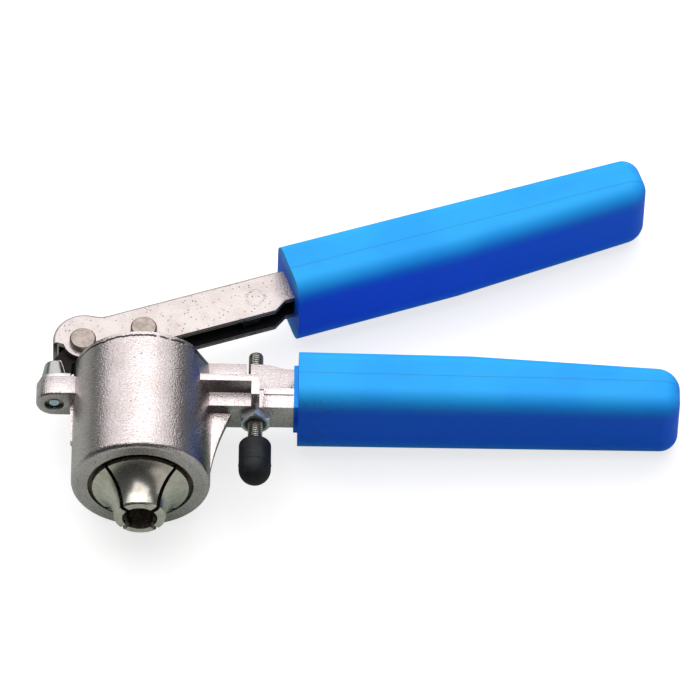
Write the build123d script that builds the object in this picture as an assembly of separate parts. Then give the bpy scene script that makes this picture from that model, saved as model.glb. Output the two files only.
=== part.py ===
"""Hand crimper for aluminium vial seals, built as separate solid pieces.

The tool lies on its side. The origin is the centre of the jaw mouth at the jaw tips, X runs along
the fixed lower handle, Y runs up the head's axis from the tips towards the lever, and Z is the
normal of the plane that both handles lie in. All sizes are millimetres.
"""
import math
import os

from build123d import *

# Running clearances and touching gaps
FIT = 0.05
SLIDE_GAP = 0.3
SEAT_GAP = 0.05

# Cast head
HEAD_R = 23.5
HEAD_LEN = 47.5
HEAD_EDGE = 1.8
NOSE_OUT = 13.5
CHAMBER_R = 17.95
CHAMBER_STEP_R = 15.8
PARTITION_T = 4.0
SPRING_CHAMBER_R = 11.0
GUIDE_CAP_R = 14.0
GUIDE_CAP_T = 3.5
SPRING_SPACE = 18.0
FACET_TILT = 5.0
FACET_TURN = 28.0
FACET_DEPTH = 1.1

# Jaws, each a quarter of a turned collet
MOUTH_R = 5.95
LIP_R = 7.5
LIP_BOW = (8.45, 0.3)
LIP_EDGE_R = 8.8
LIP_EDGE_Y = 1.1
FLANGE_R = 16.3
FLANGE_Y = 12.6
FLANGE_T = 1.4
NOSE_BOW = (11.25, 8.2)
CRIMP_LIP_T = 1.6
JAW_BORE_R = 7.0
JAW_BODY_R = 12.8
JAW_NECK_Y = 18.6
LEG_R = 10.6
LEG_ROOM = 4.5
LEG_PAD_T = 1.6
LEG_RELIEF = 0.9
LEG_CONE_GAP = 0.4
SLOT_MOUTH = 1.85
SLOT_RIM = 1.0
RETURN_RING_R = 0.9
RETURN_RING_DROP = 3.0
BEAD_R = 1.5
BEAD_AXIS_R = 14.0
BEAD_AXIS_Y = 16.2
BEAD_LEN = 10.0
JAW_TURN_DEG = 4.1

# Seat and retaining rings of the jaws
RING_BORE_R = 13.4
SEAT_RING_FRONT = 14.45
RETAINER_BACK = 19.6

# Plunger, its cone and the anvil
ROD_R = 5.0
ROD_TOP_R = 6.0
COLLAR_R = 10.0
COLLAR_T = 2.5
CONE_SMALL_R = 5.2
CONE_LEAD = 7.0
CONE_EDGE = 0.6
ANVIL_R = 5.2
ANVIL_Y = 11.5
ANVIL_T = 3.0
ANVIL_EDGE = 0.5
ANVIL_STEM_R = 3.0
TONGUE_HALF = 3.2
ROD_TOP_OUT = 2.2
EYE_R = 5.9
SPRING_COIL_R = 8.4
SPRING_WIRE_R = 0.7
SPRING_TURNS = 5
SPRING_SEAT_T = 1.0

# Fulcrum pin, plunger pin and the lever's travel
FULCRUM_X = -20.6
FULCRUM_RISE = 8.7
PIN_RISE = 5.3
PIN_R = 2.5
PIN_HEAD_R = 4.5
PIN_HEAD_T = 2.0
PIN_HEAD_EDGE = 0.5
CLOSE_DEG = 14.0

# Stamped lever
LEVER_TILT = 19.4
LEVER_HALF = 5.5
SHEET = 2.0
LEVER_TOP = 10.0
LEVER_LOW = -5.75
LEVER_LOW_GRIP = -2.75
STEP_START_U = 45.5
STEP_END_U = 50.0
ROUND_END_U = -20.3
ROUND_END_V = 2.5
ROUND_END_R = 10.8
DIP_U = -9.5
WEB_END_DEG = 171.0
HUMP_END_DEG = 66.0
FULCRUM_EDGE_R = 6.5
TANG_LEN = 112.0
BEND_R = 1.1
WEB_NOTCH = 1.4
EDGE_ARC_DEG = (172.0, 200.0, 255.0)

# Stop screw in the arm, its lock nut and rubber cap
STOP_X = 38.4
STOP_R = 2.5
STOP_TIP_OUT = 8.5
NUT_AF = 9.6
NUT_T = 3.2
NUT_EDGE = 0.7
CAP_DROP = 10.9
CAP_R = 5.5
CAP_LEN = 16.6
CAP_WALL = 4.6
CAP_SHOULDER = 1.6
STOP_BLOCK_LEN = 8.0
STOP_BLOCK_GAP = 0.15
STOP_BLOCK_EDGE = 1.0

# Arm, lug, ribs and gusset of the casting
ARM_HALF = 6.2
ARM_W = 17.7
ARM_SLOPE_X = 42.5
ARM_FALL_GRIP = 2.0
ARM_FALL_SCREW = 0.2
ARM_SHOULDER = 4.0
LUG_EDGE = 0.9
NOTCH_X = 35.3
NOTCH_W = 1.3
NOTCH_DEPTH = 4.8
RIB_H = 7.0
RIB_RISE = 5.5
RIB_W = 2.7
RIB_END_X = 39.6
BRANCH_W = 2.8
GROOVE_W = 1.5
GROOVE_DEPTH = 1.2
STEP_LINE_RISE = 5.2
STEP_LINE_X = 41.1
STEP_LINE_H = 0.5
TANG_TIP_X = 166.0
TANG_TIP_HALF_W = 5.0
GUSSET_X = 30.2
GUSSET_LEN = 22.8
GUSSET_BOW = 0.9
GUSSET_ROOT = 3.0
GUSSET_HALF = 1.5
LUG_X = -29.8
LUG_DROP = 6.5
LUG_T = 7.6
LUG_HALF = 6.2
SIDE_RIB_OUT = 1.0
SIDE_RIB_LEN = 16.0
SIDE_RIB_RUN = 4.0

# Fulcrum bracket and the stud that clamps it to the lug
PLATE_T = 1.9
PLATE_HALF = 5.4
BRACKET_EYE_R = 5.5
BOSS_R = 4.9
BOSS_TOP_R = 3.6
BOSS_H = 6.8
BOSS_EDGE = 0.8
TONGUE_BASE = 1.0
RIM_GAP = 0.8
STUD_R = 2.0
STUD_HEAD_R = 3.3
STUD_SINK = 0.7
STUD_SINK_DEPTH = 2.2
STUD_EDGE = 0.4

# Moulded grips
GRIP_START_X = 52.8
GRIP_LEN = 129.2
GRIP_W = 22.6
GRIP_W_END = 19.0
GRIP_T = 31.0
GRIP_T_END = 28.6
GRIP_EDGE = 5.8
GRIP_END_R = 8.0
GRIP_END_R_OUT = 6.2
GRIP_BEND = 0.45
COLLAR_OUT = 1.5
COLLAR_WALL = 1.0
UPPER_GRIP_U = 53.3

HEAD_FRONT = NOSE_OUT
HEAD_BACK = HEAD_FRONT + HEAD_LEN
GUIDE_CAP_FRONT = HEAD_BACK - GUIDE_CAP_T
PARTITION_BACK = GUIDE_CAP_FRONT - SPRING_SPACE
PARTITION_FRONT = PARTITION_BACK - PARTITION_T
COLLAR_FRONT = GUIDE_CAP_FRONT - COLLAR_T
LEG_TOP_Y = PARTITION_FRONT - LEG_ROOM
CONE_START_Y = LEG_TOP_Y - CONE_LEAD
CONE_END_Y = PARTITION_FRONT - SLIDE_GAP
TONGUE_START_Y = HEAD_BACK + ROD_TOP_OUT
FULCRUM_Y = HEAD_BACK + FULCRUM_RISE
PLUNGER_PIN_Y = FULCRUM_Y + PIN_RISE
ARM_FRONT = HEAD_BACK - ARM_W
ARM_BACK_GRIP = HEAD_BACK - ARM_FALL_GRIP
ARM_BACK_SCREW = HEAD_BACK - ARM_FALL_SCREW
RIB_FRONT = ARM_FRONT + RIB_RISE
RIB_BACK = RIB_FRONT + RIB_W
STEP_LINE_Y = ARM_FRONT + STEP_LINE_RISE
STOP_TIP_Y = HEAD_BACK + STOP_TIP_OUT
CAP_TOP_Y = ARM_FRONT - CAP_DROP
LUG_BACK = HEAD_BACK - LUG_DROP
LUG_FRONT = LUG_BACK - LUG_T
TONGUE_W = 2 * math.sqrt(ROD_TOP_R**2 - TONGUE_HALF**2)
LEVER_MID_V = (LEVER_TOP + LEVER_LOW_GRIP) / 2
GRIP_MID_Y = (ARM_FRONT + ARM_BACK_GRIP) / 2
INNER_HALF = LEVER_HALF - SHEET

ARM_LEN = math.hypot(-FULCRUM_X, PLUNGER_PIN_Y - FULCRUM_Y)
PIN_ANGLE = math.degrees(math.atan2(PLUNGER_PIN_Y - FULCRUM_Y, -FULCRUM_X))
CLOSED = math.radians(PIN_ANGLE - CLOSE_DEG)
STROKE = PLUNGER_PIN_Y - FULCRUM_Y - ARM_LEN * math.sin(CLOSED)
SIDE_SHIFT = FULCRUM_X + ARM_LEN * math.cos(CLOSED)
JAW_TURN = math.radians(JAW_TURN_DEG)
CONE_SLOPE = (LEG_TOP_Y - BEAD_AXIS_Y) * JAW_TURN / STROKE


def along_y(sketch, start, length):
    """Extrude a sketch that was drawn as (x, z) from y = start towards +Y."""
    turned = Plane((0, start, 0), x_dir=(1, 0, 0), z_dir=(0, 1, 0)) * sketch
    return extrude(turned, length, dir=(0, 1, 0))


def disc_y(radius, start, length, x=0, z=0):
    """Round bar along Y with its first face at y = start."""
    place = Plane((x, start, z), x_dir=(1, 0, 0), z_dir=(0, 1, 0))
    return place * Cylinder(radius, length, align=(Align.CENTER, Align.CENTER, Align.MIN))


def ring_y(outer, inner, start, length):
    """Plain ring about the head's axis."""
    return disc_y(outer, start, length) - disc_y(inner, start - 1, length + 2)


def cone_y(start_r, end_r, start, length, x=0):
    """Cone along Y, start_r at y = start."""
    place = Plane((x, start, 0), x_dir=(1, 0, 0), z_dir=(0, 1, 0))
    return place * Cone(start_r, end_r, length, align=(Align.CENTER, Align.CENTER, Align.MIN))


def slab(points, half):
    """Plate between z = -half and half with a straight-sided outline in X and Y."""
    return extrude(make_face(Polyline(*points, close=True)), half, both=True)


def revolve_y(edges):
    """Revolve a closed outline, drawn with x as radius, about the Y axis."""
    return revolve(make_face(edges), Axis.Y)


def to_lever(shape):
    """Put a shape drawn along the lever, from the plunger pin, where the lever rests."""
    return Pos(0, PLUNGER_PIN_Y, 0) * Rot(0, 0, LEVER_TILT) * shape


def lever_point(x, y):
    """Lever coordinates of a point of the tool."""
    tilt = math.radians(LEVER_TILT)
    dy = y - PLUNGER_PIN_Y
    u = x * math.cos(tilt) + dy * math.sin(tilt)
    v = -x * math.sin(tilt) + dy * math.cos(tilt)
    return u, v


def head_shell():
    """Cast cylinder before boring, with two flat places beside the arm."""
    shell = disc_y(HEAD_R, HEAD_FRONT, HEAD_LEN)
    shell = fillet(shell.edges().sort_by(Axis.Y)[0], HEAD_EDGE)
    facet = Pos(HEAD_R - FACET_DEPTH + HEAD_R, 0, 0) * Box(2 * HEAD_R, HEAD_LEN, 4 * HEAD_R)
    facet = Rot(0, 0, FACET_TILT) * facet
    for turn in (-FACET_TURN, FACET_TURN):
        shell -= Pos(0, HEAD_BACK, 0) * Rot(0, turn, 0) * facet
    return shell


def head_bores():
    """Everything that is bored out of the head along its axis."""
    bores = disc_y(CHAMBER_R, HEAD_FRONT - 1, RETAINER_BACK - HEAD_FRONT + 1)
    bores += disc_y(CHAMBER_STEP_R, HEAD_FRONT, PARTITION_FRONT - HEAD_FRONT)
    bores += disc_y(ROD_R + FIT, PARTITION_FRONT - 1, PARTITION_T + 2)
    bores += disc_y(SPRING_CHAMBER_R, PARTITION_BACK, SPRING_SPACE + 1)
    bores += disc_y(GUIDE_CAP_R, GUIDE_CAP_FRONT, GUIDE_CAP_T + 1)
    return bores


def arm_bar():
    """Arm from the head's axis to the tip of the tang inside the lower grip."""
    points = [
        (0, ARM_FRONT),
        (GRIP_START_X, ARM_FRONT),
        (TANG_TIP_X, GRIP_MID_Y - TANG_TIP_HALF_W),
        (TANG_TIP_X, GRIP_MID_Y + TANG_TIP_HALF_W),
        (GRIP_START_X, ARM_BACK_GRIP),
        (GRIP_START_X - ARM_SHOULDER, ARM_BACK_GRIP),
        (ARM_SLOPE_X, ARM_BACK_SCREW),
        (NOTCH_X, HEAD_BACK),
        (0, HEAD_BACK),
    ]
    return slab(points, ARM_HALF)


def arm_rib(side):
    """L-shaped rib that stands on one face of the arm, side is 1 or -1."""
    long_leg = Box(RIB_END_X, RIB_BACK - RIB_FRONT, RIB_H, align=(Align.MIN, Align.MIN, Align.MIN))
    long_leg = Pos(0, RIB_FRONT, ARM_HALF) * long_leg
    branch = Box(BRANCH_W, RIB_BACK - ARM_FRONT, RIB_H, align=(Align.MAX, Align.MIN, Align.MIN))
    branch = Pos(RIB_END_X, ARM_FRONT, ARM_HALF) * branch
    rib = long_leg + branch
    corner = rib.edges().filter_by(Axis.Z).group_by(Axis.X)[-1].sort_by(Axis.Y)[-1]
    rib = fillet(corner, BRANCH_W / 2)
    return rib if side > 0 else mirror(rib, Plane.XY)


def arm_cuts():
    """Notch beside the stop screw and the grooves next to the rib's branch."""
    notch = Box(NOTCH_W, NOTCH_DEPTH + 1, 4 * ARM_HALF, align=(Align.MIN, Align.MIN, Align.CENTER))
    cuts = Pos(NOTCH_X, HEAD_BACK - NOTCH_DEPTH, 0) * notch
    groove_len = RIB_BACK - ARM_FRONT
    for side in (1, -1):
        groove = Box(GROOVE_W, groove_len, GROOVE_DEPTH, align=(Align.MIN, Align.MIN, Align.CENTER))
        cuts += Pos(RIB_END_X, ARM_FRONT - 1, side * ARM_HALF) * groove
        step = Box(GRIP_START_X, STEP_LINE_Y - ARM_FRONT + 1, 2 * STEP_LINE_H,
                   align=(Align.MIN, Align.MIN, Align.CENTER))
        cuts += Pos(STEP_LINE_X, ARM_FRONT - 1, side * ARM_HALF) * step
    return cuts


def gusset():
    """Thin concave web under the arm's root."""
    corner = (GUSSET_X, ARM_FRONT)
    foot = (HEAD_R, ARM_FRONT - GUSSET_LEN)
    middle = ((corner[0] + foot[0]) / 2 - GUSSET_BOW, (corner[1] + foot[1]) / 2)
    root = (HEAD_R - GUSSET_ROOT, ARM_FRONT)
    base = (HEAD_R - GUSSET_ROOT, foot[1])
    edges = ThreePointArc(foot, middle, corner) + Polyline(corner, root, base, foot)
    return extrude(make_face(edges), GUSSET_HALF, both=True)


def handle_arm():
    """Arm of the casting with its ribs, gusset and tang, up to the head's round side."""
    body = arm_bar() + gusset()
    for side in (1, -1):
        body += arm_rib(side)
    body -= arm_cuts()
    body -= disc_y(STOP_R + FIT, ARM_FRONT - 1, ARM_W + 2, x=STOP_X)
    return body - head_shell()


def fulcrum_lug():
    """Round-ended lug of the casting that carries the fulcrum bracket."""
    body = Box(-LUG_X, LUG_T, 2 * LUG_HALF, align=(Align.MIN, Align.MIN, Align.CENTER))
    body = Pos(LUG_X, LUG_FRONT, 0) * body
    body += disc_y(LUG_HALF, LUG_FRONT, LUG_T, x=LUG_X)
    body = fillet(body.faces().sort_by(Axis.Y)[0].edges(), LUG_EDGE)
    body -= disc_y(STUD_R, LUG_FRONT - 1, LUG_T + 2, x=LUG_X)
    body -= disc_y(STUD_HEAD_R, LUG_FRONT - 1, STUD_SINK_DEPTH + 1, x=LUG_X)
    return body - head_shell()


def side_rib():
    """Low parting rib on the head below the lug."""
    front = LUG_FRONT - SIDE_RIB_LEN
    points = [
        (-HEAD_R + SIDE_RIB_RUN, front - SIDE_RIB_RUN),
        (-HEAD_R - SIDE_RIB_OUT / 2, front),
        (-HEAD_R - SIDE_RIB_OUT, LUG_FRONT),
        (-HEAD_R + SIDE_RIB_RUN, LUG_FRONT),
    ]
    return slab(points, GUSSET_HALF)


def head_body():
    """Cast head with its bores and the low rib on its side."""
    return head_shell() + side_rib() - head_bores()


def guide_cap():
    """Screwed-in cap that guides the plunger's top and stops its collar."""
    cap = ring_y(GUIDE_CAP_R, ROD_TOP_R + FIT, GUIDE_CAP_FRONT, GUIDE_CAP_T)
    for x in (-1, 1):
        spanner_x = x * (GUIDE_CAP_R + ROD_TOP_R) / 2
        cap -= disc_y(PIN_R / 2, HEAD_BACK - GUIDE_CAP_T / 2, GUIDE_CAP_T, x=spanner_x)
    return cap


def bearing_bar(radius_extra):
    """Bearing bar on a jaw's hinge axis, a little larger when it cuts the groove."""
    bar = Cylinder(BEAD_R + radius_extra, BEAD_LEN + 2 * radius_extra)
    return Pos(0, BEAD_AXIS_Y, BEAD_AXIS_R) * Rot(0, 90, 0) * bar


def quarter_turns(shape):
    """A shape made at +Z, repeated at the four jaw places."""
    return [Rot(0, 90 * turn, 0) * shape for turn in range(4)]


def seat_rings():
    """Seat ring and retaining ring that hold the jaws' bearing bars between them."""
    split = BEAD_AXIS_Y
    seat = ring_y(CHAMBER_R, RING_BORE_R, SEAT_RING_FRONT, split - SEAT_RING_FRONT)
    retainer = ring_y(CHAMBER_R, RING_BORE_R, split, RETAINER_BACK - split)
    for groove in quarter_turns(bearing_bar(FIT)):
        seat -= groove
        retainer -= groove
    return seat, retainer


def jaw_profile():
    """Half section of the jaw set, x is the radius and y the way along the axis."""
    flange_back = FLANGE_Y + FLANGE_T
    cone_r = CONE_SMALL_R + (LEG_TOP_Y - CONE_START_Y) * CONE_SLOPE
    pad_r = cone_r + LEG_CONE_GAP
    relief_r = pad_r + LEG_RELIEF
    pad_y = LEG_TOP_Y - LEG_PAD_T
    lip = ThreePointArc((LIP_R, 0), LIP_BOW, (LIP_EDGE_R, LIP_EDGE_Y))
    bow = ThreePointArc((LIP_EDGE_R, LIP_EDGE_Y), NOSE_BOW, (FLANGE_R, FLANGE_Y))
    rest = Polyline(
        (FLANGE_R, FLANGE_Y),
        (FLANGE_R, flange_back),
        (JAW_BODY_R, flange_back),
        (JAW_BODY_R, JAW_NECK_Y),
        (LEG_R, JAW_NECK_Y + 2),
        (LEG_R, LEG_TOP_Y),
        (pad_r, LEG_TOP_Y),
        (pad_r, pad_y),
        (relief_r, pad_y - LEG_RELIEF),
        (relief_r, JAW_NECK_Y),
        (JAW_BORE_R, JAW_NECK_Y - 2),
        (JAW_BORE_R, CRIMP_LIP_T + JAW_BORE_R - MOUTH_R),
        (MOUTH_R, CRIMP_LIP_T),
        (MOUTH_R, 0),
        (LIP_R, 0),
    )
    return lip + bow + rest


def jaw():
    """One jaw at +Z: a quarter of the turned collet, with its bearing bar."""
    collet = revolve_y(jaw_profile())
    reach = 2 * FLANGE_R
    mouth = SLOT_MOUTH / 2 * math.sqrt(2)
    rim = SLOT_RIM / 2 * math.sqrt(2)
    side = reach - mouth - (rim - mouth) * reach / FLANGE_R
    sector = make_face(Polyline((0, mouth), (side, reach), (-side, reach), close=True))
    turned = Plane((0, -1, 0), x_dir=(1, 0, 0), z_dir=(0, -1, 0)) * sector
    quarter = extrude(turned, LEG_TOP_Y + 2, dir=(0, 1, 0))
    return (collet & quarter) + bearing_bar(0)


def jaws():
    """The four jaws by name."""
    names = ("jaw_upper", "jaw_right", "jaw_lower", "jaw_left")
    return dict(zip(names, quarter_turns(jaw())))


def jaw_return_ring():
    """Elastic ring round the jaw legs that swings the jaws open again."""
    place = Plane((0, LEG_TOP_Y - RETURN_RING_DROP, 0), x_dir=(1, 0, 0), z_dir=(0, 1, 0))
    return place * Torus(LEG_R + RETURN_RING_R, RETURN_RING_R)


def plunger_rod():
    """Plunger from the cone's end to the slotted eye on the lever's pin."""
    rod = disc_y(ROD_R, CONE_END_Y, COLLAR_FRONT - CONE_END_Y)
    rod += disc_y(COLLAR_R, COLLAR_FRONT, COLLAR_T - SEAT_GAP)
    rod += disc_y(ROD_TOP_R, COLLAR_FRONT, TONGUE_START_Y - COLLAR_FRONT)
    tongue_len = PLUNGER_PIN_Y - COLLAR_FRONT
    tongue = Box(TONGUE_W, tongue_len, 2 * TONGUE_HALF,
                 align=(Align.CENTER, Align.MIN, Align.CENTER))
    tongue = Pos(0, COLLAR_FRONT, 0) * tongue
    eye = Pos(0, PLUNGER_PIN_Y, 0) * Cylinder(EYE_R, 2 * TONGUE_HALF)
    rod += tongue + eye
    slot_w = PIN_R + 2 * FIT
    slot = Pos(0, PLUNGER_PIN_Y, 0) * Cylinder(slot_w, 4 * TONGUE_HALF)
    slot += Pos(SIDE_SHIFT, PLUNGER_PIN_Y, 0) * Cylinder(slot_w, 4 * TONGUE_HALF)
    slot += Pos(SIDE_SHIFT / 2, PLUNGER_PIN_Y, 0) * Box(SIDE_SHIFT, 2 * slot_w, 4 * TONGUE_HALF)
    return rod - slot


def jaw_cone():
    """Hardened cone that spreads the jaw legs."""
    length = CONE_END_Y - CONE_START_Y
    cone = cone_y(CONE_SMALL_R, CONE_SMALL_R + length * CONE_SLOPE, CONE_START_Y, length)
    return chamfer(cone.edges().sort_by(Axis.Y)[0], CONE_EDGE)


def anvil():
    """Pad that holds the seal's top, on its stem from the cone."""
    pad = disc_y(ANVIL_R, ANVIL_Y, ANVIL_T)
    pad = fillet(pad.edges().sort_by(Axis.Y)[0], ANVIL_EDGE)
    stem_start = ANVIL_Y + ANVIL_T
    return pad + disc_y(ANVIL_STEM_R, stem_start, CONE_START_Y - stem_start)


def spring_seat():
    """Washer under the return spring."""
    return ring_y(SPRING_CHAMBER_R - SLIDE_GAP, ROD_R + SLIDE_GAP, PARTITION_BACK, SPRING_SEAT_T)


def return_spring():
    """Compression spring between the seat washer and the plunger's collar."""
    start = PARTITION_BACK + SPRING_SEAT_T + SPRING_WIRE_R
    end = COLLAR_FRONT - SPRING_WIRE_R
    height = end - start
    path = Helix(height / SPRING_TURNS, height, SPRING_COIL_R)
    wire = Plane(path @ 0, z_dir=path % 0) * Circle(SPRING_WIRE_R)
    coil = sweep(wire, path, is_frenet=True)
    return Plane((0, start, 0), x_dir=(1, 0, 0), z_dir=(0, 1, 0)) * coil


def round_end(inset):
    """Left part of the lever's outline, from the web's end over the hump to the dip."""
    radius = ROUND_END_R - inset

    def at(degrees):
        turn = math.radians(degrees)
        return (ROUND_END_U + radius * math.cos(turn), ROUND_END_V + radius * math.sin(turn))

    middle = at((WEB_END_DEG + HUMP_END_DEG) / 2)
    arc = ThreePointArc(at(WEB_END_DEG), middle, at(HUMP_END_DEG))
    turn = math.radians(HUMP_END_DEG)
    leave = (math.sin(turn), -math.cos(turn))
    dip = (DIP_U, LEVER_TOP - inset)
    hump = Spline(at(HUMP_END_DEG), dip, tangents=[leave, (1, 0)])
    return arc + hump, at(WEB_END_DEG), dip


def lever_plate():
    """Outline of the flange, both round ends and the step before the grip."""
    far_u = UPPER_GRIP_U + TANG_LEN
    over, web_end, dip = round_end(0)
    pivot_u, pivot_v = lever_point(FULCRUM_X, FULCRUM_Y)
    arc_points = []
    for degrees in EDGE_ARC_DEG:
        turn = math.radians(degrees)
        reach_u = FULCRUM_EDGE_R * math.cos(turn)
        arc_points.append((pivot_u + reach_u, pivot_v + FULCRUM_EDGE_R * math.sin(turn)))
    low_line = Polyline(
        arc_points[2],
        (pivot_u + FULCRUM_EDGE_R, LEVER_LOW),
        (STEP_START_U, LEVER_LOW),
        (STEP_END_U, LEVER_LOW_GRIP),
        (far_u, LEVER_LOW_GRIP),
        (far_u, LEVER_TOP),
        dip,
    )
    left = Polyline(web_end, (web_end[0] + WEB_NOTCH, web_end[1]), arc_points[0])
    return make_face(over + low_line + left + ThreePointArc(*arc_points))


def lever_space():
    """Inside of the channel, open below and at the web's end."""
    over, web_end, dip = round_end(SHEET)
    reach = UPPER_GRIP_U + TANG_LEN + 1
    below = 4 * LEVER_LOW
    beyond = ROUND_END_U - 2 * ROUND_END_R
    rest = Polyline(dip, (reach, LEVER_TOP - SHEET), (reach, below), (beyond, below),
                    (beyond, web_end[1]), web_end)
    return make_face(over + rest)


def pin_holes(radius):
    """Both pin holes in lever coordinates."""
    u, v = lever_point(FULCRUM_X, FULCRUM_Y)
    holes = Pos(u, v, 0) * Cylinder(radius, 6 * LEVER_HALF)
    return holes + Cylinder(radius, 6 * LEVER_HALF)


def lever_channel():
    """Stamped channel: two flanges joined by a web on the far side."""
    channel = extrude(lever_plate(), LEVER_HALF, both=True)
    rims = channel.faces().filter_by(Axis.Z).edges()
    bends = [edge for edge in rims if edge.center().Y > LEVER_TOP - BEND_R]
    channel = fillet(bends, BEND_R)
    channel -= extrude(lever_space(), INNER_HALF, both=True)
    return to_lever(channel - pin_holes(PIN_R))


def stop_block():
    """Block welded into the channel where the stop screw's tip meets it."""
    turn = math.radians(-CLOSE_DEG)
    dx = STOP_X - FULCRUM_X
    dy = STOP_TIP_Y - FULCRUM_Y
    open_x = FULCRUM_X + dx * math.cos(-turn) - dy * math.sin(-turn)
    open_y = FULCRUM_Y + dx * math.sin(-turn) + dy * math.cos(-turn)
    u, v = lever_point(open_x, open_y)
    height = LEVER_TOP - SHEET - v - STOP_BLOCK_GAP
    block = Box(STOP_BLOCK_LEN, height, 2 * INNER_HALF, align=(Align.CENTER, Align.MAX, Align.CENTER))
    block = Pos(u, LEVER_TOP - SHEET, 0) * block
    low = block.edges().filter_by(Axis.Z).group_by(Axis.Y)[0]
    return to_lever(chamfer(low, STOP_BLOCK_EDGE))


def rivet_pin(x, y):
    """Pin through both flanges with a low round head at each end."""
    pin = Cylinder(PIN_R, 2 * LEVER_HALF)
    for side in (1, -1):
        head = Cylinder(PIN_HEAD_R, PIN_HEAD_T, align=(Align.CENTER, Align.CENTER, Align.MIN))
        head = chamfer(head.edges().sort_by(Axis.Z)[-1], PIN_HEAD_EDGE)
        head = Pos(0, 0, LEVER_HALF) * head
        pin += head if side > 0 else mirror(head, Plane.XY)
    return Pos(x, y, 0) * pin


def bracket_plate():
    """Washer plate between the lug and the fulcrum bracket."""
    plate = disc_y(PLATE_HALF, LUG_BACK, PLATE_T, x=LUG_X)
    block = Box(PLATE_HALF, PLATE_T, 2 * PLATE_HALF, align=(Align.MIN, Align.MIN, Align.CENTER))
    plate += Pos(LUG_X, LUG_BACK, 0) * block
    plate -= disc_y(HEAD_R + SLIDE_GAP, LUG_BACK - 1, PLATE_T + 2)
    return plate - disc_y(STUD_R, LUG_BACK - 1, PLATE_T + 2, x=LUG_X)


def fulcrum_bracket():
    """Tapered boss with a tongue that leans over the rim to the fulcrum eye."""
    base = LUG_BACK + PLATE_T
    boss = cone_y(BOSS_R, BOSS_TOP_R, base, BOSS_H, x=LUG_X)
    boss = fillet(boss.edges().sort_by(Axis.Y)[-1], BOSS_EDGE)
    top = base + BOSS_H
    tongue_points = [
        (LUG_X - BOSS_TOP_R / 2, top - BOSS_TOP_R / 2),
        (FULCRUM_X - BRACKET_EYE_R, FULCRUM_Y),
        (FULCRUM_X, FULCRUM_Y - BRACKET_EYE_R),
        (-HEAD_R - RIM_GAP, HEAD_BACK + RIM_GAP),
        (-HEAD_R - RIM_GAP, base + TONGUE_BASE),
        (LUG_X, base + TONGUE_BASE),
    ]
    tongue = slab(tongue_points, TONGUE_HALF)
    eye = Pos(FULCRUM_X, FULCRUM_Y, 0) * Cylinder(BRACKET_EYE_R, 2 * TONGUE_HALF)
    hole = Pos(FULCRUM_X, FULCRUM_Y, 0) * Cylinder(PIN_R + FIT, 4 * TONGUE_HALF)
    stud_hole = disc_y(STUD_R, base - 1, BOSS_H, x=LUG_X)
    return boss + tongue + eye - hole - stud_hole


def fulcrum_stud():
    """Stud from the lug's sunk hole up into the bracket."""
    start = LUG_FRONT + STUD_SINK
    end = LUG_BACK + PLATE_T + BOSS_H - 1
    stud = disc_y(STUD_R, start, end - start, x=LUG_X)
    return chamfer(stud.edges().sort_by(Axis.Y)[0], STUD_EDGE)


def stop_screw():
    """Stop screw through the arm, its rounded tip towards the lever."""
    start = CAP_TOP_Y - CAP_LEN + CAP_WALL
    screw = disc_y(STOP_R, start, STOP_TIP_Y - start, x=STOP_X)
    return fillet(screw.edges().sort_by(Axis.Y)[-1], STOP_R * 0.55)


def stop_screw_cap():
    """Rubber cap with a half-round end over the screw's lower end."""
    end = CAP_TOP_Y - CAP_LEN
    cap = disc_y(CAP_R, end + CAP_R, CAP_LEN - CAP_R, x=STOP_X)
    cap = fillet(cap.edges().sort_by(Axis.Y)[-1], CAP_SHOULDER)
    cap += Pos(STOP_X, end + CAP_R, 0) * Sphere(CAP_R)
    return cap - disc_y(STOP_R, end + CAP_WALL, CAP_LEN, x=STOP_X)


def stop_lock_nut():
    """Hexagon lock nut against the arm, a corner towards +Z."""
    corner_r = NUT_AF / 2 / math.cos(math.radians(30))
    hexagon = RegularPolygon(corner_r, 6, rotation=90)
    nut = along_y(hexagon, ARM_FRONT - NUT_T, NUT_T - SEAT_GAP)
    edge = cone_y(corner_r - NUT_EDGE, corner_r + NUT_T - 2 * NUT_EDGE, ARM_FRONT - NUT_T, NUT_T)
    return Pos(STOP_X, 0, 0) * (nut & edge) - disc_y(STOP_R + FIT, 0, HEAD_BACK, x=STOP_X)


def grip_side():
    """Grip from the side: its inner edge is up, straight and then sloping to the end."""
    half = GRIP_W / 2
    end_top = GRIP_W_END - half
    outline = make_face(Polyline(
        (0, -half), (GRIP_LEN, -half), (GRIP_LEN, end_top),
        (GRIP_LEN * GRIP_BEND, half), (0, half), close=True))
    outer = outline.vertices().sort_by_distance((GRIP_LEN, -half))[0]
    outline = fillet(outer, GRIP_END_R_OUT)
    inner = outline.vertices().sort_by_distance((GRIP_LEN, end_top))[0]
    return fillet(inner, GRIP_END_R)


def grip_body():
    """Moulded grip, from its mouth at x = 0, without its pocket."""
    half = GRIP_T / 2
    end_half = GRIP_T_END / 2
    plan = make_face(Polyline(
        (0, -half), (GRIP_LEN, -end_half), (GRIP_LEN, end_half), (0, half), close=True))
    side = extrude(grip_side(), GRIP_T, both=True)
    grip = side & extrude(Rot(90, 0, 0) * plan, 2 * GRIP_W, both=True)
    faces = grip.faces().sort_by(Axis.Z)
    rims = faces[0].edges() + faces[-1].edges()
    rims = [edge for edge in rims if edge.center().X > GRIP_EDGE]
    return fillet(rims, GRIP_EDGE)


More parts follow.
